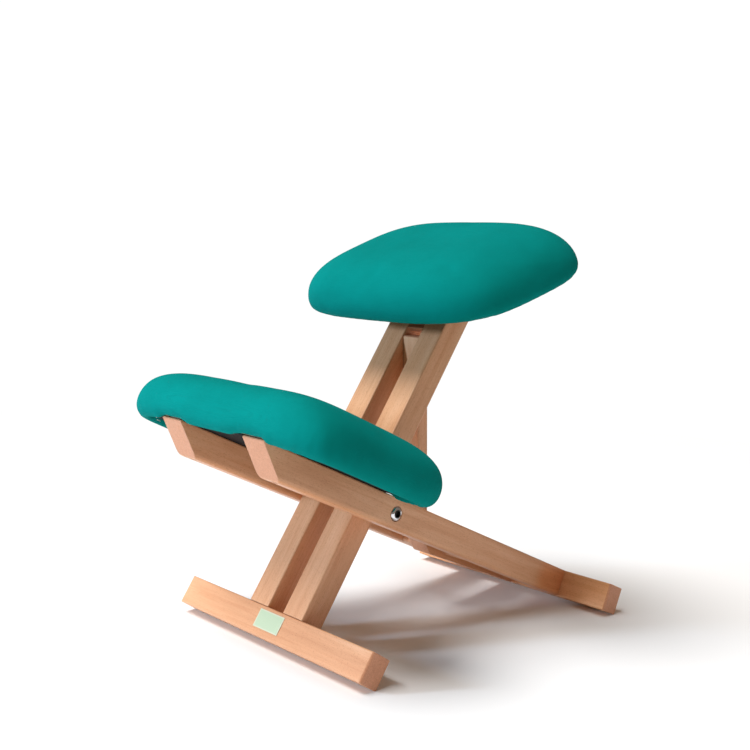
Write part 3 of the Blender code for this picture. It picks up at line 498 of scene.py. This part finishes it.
def piece(name, bm, body, material, place, smooth=True):
    """Turn a bmesh in some plane's frame into an object that rides on a body."""
    bm.transform(place)
    bmesh.ops.recalc_face_normals(bm, faces=bm.faces)
    mesh = mesh_from(name, bm)
    mesh.materials.append(material)
    if smooth:
        mesh.shade_smooth()
        mesh.set_sharp_from_angle(angle=radians(40.0))
    thing = add_object(name, mesh)
    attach(thing, body)
    return thing


def bridge(bm, lower, upper):
    """Close the strip between two rings with the same number of vertices."""
    for index in range(len(lower)):
        after = (index + 1) % len(lower)
        bm.faces.new((lower[index], lower[after], upper[after], upper[index]))


# ---------------------------------------------------------------- pads
class Pad:
    """One cushion's plan and section, in the frame of its board's underside.

    The plan is a superellipse of the given exponent, wider at the rear by the share widening, with
    a hollow in its rear edge for the legs.  The section is a quarter round, rim high and tuck
    deep, under a crown; squareness and crowning are the powers of the crown's plan and rise.
    The ends droop outside flat_half.  The roll hangs lower by sag where no member carries it:
    outside sag_from, and within front_sag of the front edge.
    """

    def __init__(self, half_width, front, rear, exponent, rim, crown, squareness, crowning, droop,
                 flat_half, tuck, widening, hollow=0.0, sag=0.0, sag_from=BEAM_OUTER_X, front_sag=0.0):
        self.half_width = half_width
        self.middle = (front + rear) / 2.0
        self.half_depth = (rear - front) / 2.0
        self.exponent = exponent
        self.rim = rim
        self.crown = crown
        self.squareness = squareness
        self.crowning = crowning
        self.droop = droop
        self.flat_half = flat_half
        self.tuck = tuck
        self.sag = sag
        self.sag_from = sag_from
        self.front_sag = front_sag
        self.hollow = hollow
        self.widening = widening

    def pressed_in(self, x, y, height):
        """How far the hollow for the legs takes a point of the rear half forwards."""
        share = clamp((HOLLOW_OUTER_X - abs(x)) / (HOLLOW_OUTER_X - HOLLOW_INNER_X))
        low = clamp((HOLLOW_TOP - height) / (HOLLOW_TOP - self.rim))
        return self.hollow * share * share * (3.0 - 2.0 * share) * (y / self.half_depth) * low

    def hanging(self, x, y):
        """0 where a member carries the roll, 1 where it hangs free."""
        on_beam = BEAM_INNER_X - SAG_RUN / 2 < abs(x) < self.sag_from
        ahead = self.front_sag - self.half_depth - y - (self.tuck if on_beam else 0.0)
        return clamp(max(abs(x) - self.sag_from, ahead) / SAG_RUN)

    def point(self, angle, inset, scale, height, hang=0.0):
        """A point at a bearing round the plan; hang is the share of the sag that it takes."""
        power = 2.0 / self.exponent
        c, s = cos(angle), sin(angle)
        x = math.copysign(abs(c) ** power, c) * (self.half_width - inset) * scale
        y = math.copysign(abs(s) ** power, s) * (self.half_depth - inset) * scale
        x *= 1.0 + self.widening * y / self.half_depth
        if y > 0.0:
            y -= self.pressed_in(x, y, height)
        over = max(0.0, abs(x) - self.flat_half) / (self.half_width - self.flat_half)
        height -= self.droop * over ** 2 + hang * (BED + self.sag * self.hanging(x, y))
        return Vector((x, self.middle + y, height))

    def ring(self, bm, inset, scale, height, hang=0.0):
        return [
            bm.verts.new(self.point(2 * pi * (index + 0.5) / PAD_AROUND, inset, scale, height, hang))
            for index in range(PAD_AROUND)
        ]

    def mesh(self):
        """The closed cushion: recess over the board, turned-in lip, round rim and crown."""
        bm = bmesh.new()
        deep = self.ring(bm, LIP, 1.0, RECESS)
        rings = [deep, self.ring(bm, LIP, 1.0, 0.0, hang=0.5)]
        for step in range(RIM_STEPS + 1):
            turn = (pi / 2) * step / RIM_STEPS
            inset = SHRINK + self.tuck * (1.0 - sin(turn))
            height = self.rim * (1.0 - cos(turn)) + SHRINK / 2
            rings.append(self.ring(bm, inset, 1.0, height, hang=cos(turn)))
        for step in range(1, CROWN_STEPS + 1):
            turn = CROWN_TURN * step / CROWN_STEPS
            height = self.rim + (self.crown - SHRINK) * sin(turn) ** self.crowning
            rings.append(self.ring(bm, SHRINK, cos(turn) ** self.squareness, height))
        for lower, upper in zip(rings, rings[1:]):
            bridge(bm, lower, upper)
        for ring, height in ((deep, RECESS), (rings[-1], self.rim + self.crown - SHRINK)):
            centre = bm.verts.new((0.0, self.middle, height))
            for index in range(PAD_AROUND):
                bm.faces.new((ring[index], ring[(index + 1) % PAD_AROUND], centre))
        bmesh.ops.recalc_face_normals(bm, faces=bm.faces)
        return bm

    def inset_of(self, point):
        """About how far inside the rim's plan a point lies."""
        x = abs(point.x) / (1.0 + self.widening * (point.y - self.middle) / self.half_depth)
        y = abs(point.y - self.middle)
        reach = (x / self.half_width) ** self.exponent + (y / self.half_depth) ** self.exponent
        return (1.0 - reach ** (1.0 / self.exponent)) * self.half_depth


knee_pad = Pad(half_width=0.2222, front=-0.2758, rear=-0.0012, exponent=5.25, rim=0.0179, crown=0.0520,
               squareness=0.396, crowning=0.80, droop=0.0070, flat_half=0.100, tuck=0.0170,
               widening=0.0110, hollow=0.0150, sag=0.0066, sag_from=BEAM_OUTER_X + 0.0015,
               front_sag=0.028)
seat_pad = Pad(half_width=0.2069, front=-0.1440, rear=0.1558, exponent=3.37, rim=0.0119, crown=0.0638,
               squareness=0.472, crowning=0.99, droop=0.0073, flat_half=0.078, tuck=0.0140,
               widening=0.058)


def evaluated_mesh(thing):
    """A plain copy of an object's mesh with its modifiers in it."""
    graph = bpy.context.evaluated_depsgraph_get()
    return bpy.data.meshes.new_from_object(thing.evaluated_get(graph))


def bake_modifiers(thing):
    """Apply an object's modifiers to its own mesh."""
    mesh = evaluated_mesh(thing)
    thing.modifiers.clear()
    thing.data = mesh


def swell(thing, held):
    """Blow the pad up as a held cloth shell, and keep every point near where it was cut."""
    start = [vertex.co.copy() for vertex in thing.data.vertices]
    group = thing.vertex_groups.new(name="stapled")
    group.add(held, 1.0, "REPLACE")
    cloth = thing.modifiers.new("swell", "CLOTH")
    cloth.settings.quality = CLOTH_QUALITY
    cloth.settings.mass = CLOTH_MASS
    cloth.settings.tension_stiffness = STRETCH_STIFFNESS
    cloth.settings.compression_stiffness = STRETCH_STIFFNESS
    cloth.settings.bending_stiffness = BENDING_STIFFNESS
    cloth.settings.vertex_group_mass = group.name
    cloth.settings.use_pressure = True
    cloth.settings.uniform_pressure_force = PRESSURE
    cloth.settings.effector_weights.gravity = 0.0
    cloth.collision_settings.use_collision = False
    scene = bpy.context.scene
    for number in range(1, SWELL_FRAMES + 1):
        scene.frame_set(number)
    blown = evaluated_mesh(thing)
    thing.modifiers.clear()
    thing.vertex_groups.clear()
    for vertex, origin, moved in zip(thing.data.vertices, start, blown.vertices):
        step = moved.co - origin
        if step.length > SWELL_LIMIT:
            step *= SWELL_LIMIT / step.length
        if step.dot(vertex.normal) < 0.0:
            step *= INWARD_SHARE
        vertex.co = origin + step
    scene.frame_set(1)


def relax(thing, rounds, free):
    """Even out the steps that remeshing leaves, at the free vertices."""
    bm = bmesh.new()
    bm.from_mesh(thing.data)
    bm.verts.ensure_lookup_table()
    chosen = [bm.verts[index] for index in free]
    for _ in range(rounds):
        bmesh.ops.smooth_vert(bm, verts=chosen, factor=0.5,
                              use_axis_x=True, use_axis_y=True, use_axis_z=True)
    bm.to_mesh(thing.data)
    bm.free()


def clear_the_legs(thing, plane):
    """Press the pad's rear face back from the legs that stand behind it."""
    to_legs = seat_frame.inverted() @ plane
    back = to_legs.inverted()
    limit = LEG_FRONT - LEG_CLEARANCE
    for vertex in thing.data.vertices:
        place = to_legs @ vertex.co
        if abs(place.x) < LEG_OUTER_X + LEG_MARGIN and place.y > limit:
            place.y = limit
            vertex.co = back @ place


def gather(thing, pad, seed):
    """Small pleats where the cloth turns under the pad, deepest at its underside."""
    for vertex in thing.data.vertices:
        place = vertex.co
        if place.z > PLEAT_HEIGHT or pad.inset_of(place) > pad.tuck:
            continue
        outward = Vector((place.x, place.y - pad.middle, 0.0)).normalized()
        bearing = math.atan2(place.y - pad.middle, place.x)
        run = bearing * pad.half_width
        wander = noise.noise(Vector((run * WANDER_RATE, seed, 0.0)))
        wave = run * PLEAT_RATE + PLEAT_WANDER * wander + place.z * PLEAT_SLANT
        pleat = max(0.0, sin(wave)) ** 2
        patch = max(0.0, 0.55 + 0.9 * noise.noise(Vector((run * PATCH_RATE, seed + 3.0, 0.0))))
        fade = clamp((PLEAT_HEIGHT - place.z) / PLEAT_HEIGHT) ** 1.3
        vertex.co -= outward * PLEAT_DEPTH * pleat * patch * fade


def cushion(name, pad, plane, body, tilt, seed, replaced):
    """The upholstered cushion: remeshed, swollen, smoothed, gathered and subdivided once."""
    thing = add_object(name, mesh_from(name, pad.mesh()))
    remesh = thing.modifiers.new("remesh", "REMESH")
    remesh.mode = "VOXEL"
    remesh.voxel_size = VOXEL
    bake_modifiers(thing)
    held = []
    free = []
    for vertex in thing.data.vertices:
        low = vertex.co.z < RECESS + HELD_HEIGHT
        under = pad.inset_of(vertex.co) > pad.tuck * HELD_SHARE
        (held if low and under else free).append(vertex.index)
    relax(thing, ROUNDS_BEFORE_SWELL, free)
    swell(thing, held)
    relax(thing, ROUNDS_AFTER_SWELL, free)
    if pad.hollow:
        clear_the_legs(thing, plane)
    gather(thing, pad, seed)
    subdivision = thing.modifiers.new("subdivision", "SUBSURF")
    subdivision.levels = 1
    subdivision.render_levels = 1
    bake_modifiers(thing)
    thing.data.materials.clear()
    thing.data.materials.append(upholstery_cloth(name + "_cloth", tilt))
    thing.data.shade_smooth()
    thing.data.transform(plane)
    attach(thing, body)
    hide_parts(*replaced)


def staples(name, pad, plane, body):
    """Wire staples round the dust cover's edge, where it and the cloth are fixed to the board."""
    bm = bmesh.new()
    height = -DUST_FACE - STAPLE_WIRE / 2 - STAPLE_GAP
    loop = [pad.point(2 * pi * step / STAPLE_STEPS, LIP + STAPLE_INSET, 1.0, height)
            for step in range(STAPLE_STEPS)]
    travelled = 0.0
    for before, after in zip(loop, loop[1:] + loop[:1]):
        travelled += (after - before).length
        on_wood = BEAM_INNER_X - STAPLE_CROWN <= abs(after.x) <= BEAM_OUTER_X + STAPLE_CROWN
        if travelled < STAPLE_PITCH or on_wood:
            continue
        travelled = 0.0
        along = (after - before).normalized()
        across = Vector((-along.y, along.x, 0.0)) * STAPLE_WIRE
        rise = Vector((0.0, 0.0, STAPLE_WIRE / 2))
        corners = []
        for end in (-1, 1):
            for side, up in ((-1, -1), (1, -1), (1, 1), (-1, 1)):
                half = STAPLE_CROWN / 2 - (STAPLE_BEVEL if up < 0 else 0.0)
                corners.append(bm.verts.new(after + along * half * end + across * side + rise * up))
        bridge(bm, corners[:4], corners[4:])
        bm.faces.new(corners[:4])
        bm.faces.new(corners[4:])
    thing = piece(name, bm, body, zinc, plane, smooth=False)


cushion("knee_cushion", knee_pad, knee_plane, "knee_frame", BEAM_TILT, 1.0, ("knee_cover", "knee_foam"))
cushion("seat_cushion", seat_pad, seat_plane, "seat_frame", SEAT_TILT, 7.0, ("seat_cover", "seat_foam"))
staples("knee_staples", knee_pad, knee_plane, "knee_frame")
staples("seat_staples", seat_pad, seat_plane, "seat_frame")


# ---------------------------------------------------------------- pivot bolts
def bolt_ring(bm, x, radius, hexagon=False):
    """A ring round the X axis; a hexagon's radius is the one to its corners."""
    ring = []
    for side in range(BOLT_SIDES):
        angle = 2 * pi * side / BOLT_SIDES
        reach = radius
        if hexagon:
            off_flat = (angle % (pi / 3)) - pi / 6
            reach = radius * cos(pi / 6) / cos(off_flat)
        ring.append(bm.verts.new((x, reach * cos(angle), reach * sin(angle))))
    return ring


def bolt(side, hand):
    """A button-head bolt: turned head, rolled edges, and a hexagon socket sunk in the dome."""
    bm = bmesh.new()
    profile = [
        (BOLT_TIP_X, BOLT_SHANK_RADIUS - BOLT_CHAMFER),
        (BOLT_TIP_X + BOLT_CHAMFER, BOLT_SHANK_RADIUS),
        (BOLT_SEAT_X, BOLT_SHANK_RADIUS),
        (BOLT_SEAT_X, BOLT_HEAD_RADIUS - BOLT_EDGE),
        (BOLT_SEAT_X + BOLT_EDGE, BOLT_HEAD_RADIUS),
    ]
    for step in range(BOLT_DOME_STEPS + 1):
        turn = BOLT_DOME_TURN * step / BOLT_DOME_STEPS
        profile.append((BOLT_SEAT_X + BOLT_SIDE + BOLT_DOME * sin(turn), BOLT_HEAD_RADIUS * cos(turn)))
    rings = [bolt_ring(bm, x, radius) for x, radius in profile]
    top = profile[-1][0]
    rings.append(bolt_ring(bm, top, SOCKET_RADIUS + BOLT_ROLL, hexagon=True))
    rings.append(bolt_ring(bm, top - BOLT_ROLL, SOCKET_RADIUS, hexagon=True))
    rings.append(bolt_ring(bm, top - SOCKET_DEPTH, SOCKET_RADIUS, hexagon=True))
    for lower, upper in zip(rings, rings[1:]):
        bridge(bm, lower, upper)
    bm.faces.new(rings[0])
    bm.faces.new(rings[-1])
    # the socket's faces take the near-black steel of painted shade
    for facet in bm.faces:
        middle = facet.calc_center_median()
        in_socket = math.hypot(middle.y, middle.z) < SOCKET_RADIUS and middle.x > BOLT_SEAT_X
        facet.material_index = int(in_socket)
    place = knee_frame @ Matrix.Diagonal((side, 1.0, 1.0, 1.0))
    thing = piece("button_head_bolt_" + hand, bm, "seat_frame", chrome, place)
    thing.data.materials.append(socket_painted_shade)
    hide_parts("pivot_bolt_" + hand)


bolt(-1.0, "left")
bolt(1.0, "right")


# ---------------------------------------------------------------- blank label
def label():
    """A blank printed plate: pale green card with a fine paler border, under a clear film."""
    low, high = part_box("label_plate")
    card = Nodes("label_card")
    half_width = (high.x - low.x) / 2
    middle = (low + high) / 2
    place = card.tree.nodes.new("ShaderNodeSeparateXYZ")
    card.link(card.mapped(LEG_TILT, (1.0, 1.0, 1.0), tuple(middle)), place.inputs["Vector"])
    edge_x = card.math("SUBTRACT", half_width, card.math("ABSOLUTE", place.outputs["X"], 0.0))
    edge_z = card.math("SUBTRACT", LABEL_HALF_HEIGHT, card.math("ABSOLUTE", place.outputs["Z"], 0.0))
    inside = card.remap(card.math("MINIMUM", edge_x, edge_z), *LABEL_BORDER)
    paper = card.noise(card.mapped(0.0, (0.0009,) * 3), detail=4.0, roughness=0.65)
    tone = card.ramp(paper, [(0.35, (0.50, 0.62, 0.42)), (0.70, (0.56, 0.65, 0.45))])
    card.link(card.mix(inside, (0.66, 0.68, 0.50), tone), card.shader.inputs["Base Color"])
    card.link(card.remap(paper, 0.2, 0.8, 0.38, 0.48), card.shader.inputs["Roughness"])
    card.set(Coat_Weight=0.3, Coat_Roughness=0.15)
    card.bump(paper, 0.00003)
    dress(card.material, "label_plate")


label()


# ---------------------------------------------------------------- floor, light and camera
def key_light():
    """A small cool source in front of the chair and to its left."""
    light = bpy.data.lights.new("key", "AREA")
    light.shape = "DISK"
    light.size = KEY_SIZE
    light.energy = KEY_POWER
    light.color = KEY_COLOUR
    thing = add_object("key", light)
    thing.location = KEY_PLACE
    thing.rotation_euler = (Vector(KEY_PLACE) - Vector(KEY_TARGET)).to_track_quat("Z", "Y").to_euler()


def floor():
    """A plain round floor, nearly white."""
    bm = bmesh.new()
    bmesh.ops.create_circle(bm, cap_ends=True, segments=FLOOR_SIDES, radius=FLOOR_RADIUS)
    mesh = mesh_from("studio_floor", bm)
    thing = add_object("studio_floor", mesh)
    paint = Nodes("studio_floor_paint")
    mottle = paint.noise(paint.mapped(0.0, (0.4, 0.4, 0.4)), detail=2.0)
    paint.link(paint.ramp(mottle, [(0.3, (0.90, 0.90, 0.90)), (0.7, (0.915, 0.915, 0.915))]),
               paint.shader.inputs["Base Color"])
    paint.set(Roughness=0.9, Specular_IOR_Level=0.1)
    mesh.materials.append(paint.material)


def world():
    """The camera sees white all round, and the chair is lit by a faint warm ambient."""
    scene_world = bpy.data.worlds.new("studio")
    scene_world.use_nodes = True
    tree = scene_world.node_tree
    background = tree.nodes["Background"]
    path = tree.nodes.new("ShaderNodeLightPath")
    tone = tree.nodes.new("ShaderNodeMix")
    tone.data_type = "RGBA"
    first, second = enabled(tone.inputs, "A", "B")
    first.default_value = (*AMBIENT, 1.0)
    second.default_value = (BACKDROP, BACKDROP, BACKDROP, 1.0)
    tree.links.new(path.outputs["Is Camera Ray"], enabled(tone.inputs, "Factor")[0])
    tree.links.new(enabled(tone.outputs, "Result")[0], background.inputs["Color"])
    bpy.context.scene.world = scene_world


def overhead():
    """A broad, distant source over the chair."""
    light = bpy.data.lights.new("overhead", "SUN")
    light.energy = OVERHEAD_POWER
    light.angle = OVERHEAD_SPREAD
    thing = add_object("overhead", light)
    thing.rotation_euler = (OVERHEAD_LEAN, 0.0, OVERHEAD_BEARING)


def camera():
    """Low, in front of the chair and to its right."""
    lens = bpy.data.cameras.new("camera")
    lens.lens = CAMERA_LENS
    lens.sensor_width = CAMERA_SENSOR
    thing = add_object("camera", lens)
    turn = (Matrix.Rotation(CAMERA_YAW, 4, "Z") @ Matrix.Rotation(pi / 2 - CAMERA_PITCH, 4, "X")
            @ Matrix.Rotation(CAMERA_ROLL, 4, "Z"))
    thing.matrix_world = Matrix.Translation(PIVOT + CAMERA_FROM_PIVOT) @ turn
    bpy.context.scene.camera = thing


floor()
world()
overhead()
key_light()
camera()
bpy.context.scene.view_settings.view_transform = "Standard"
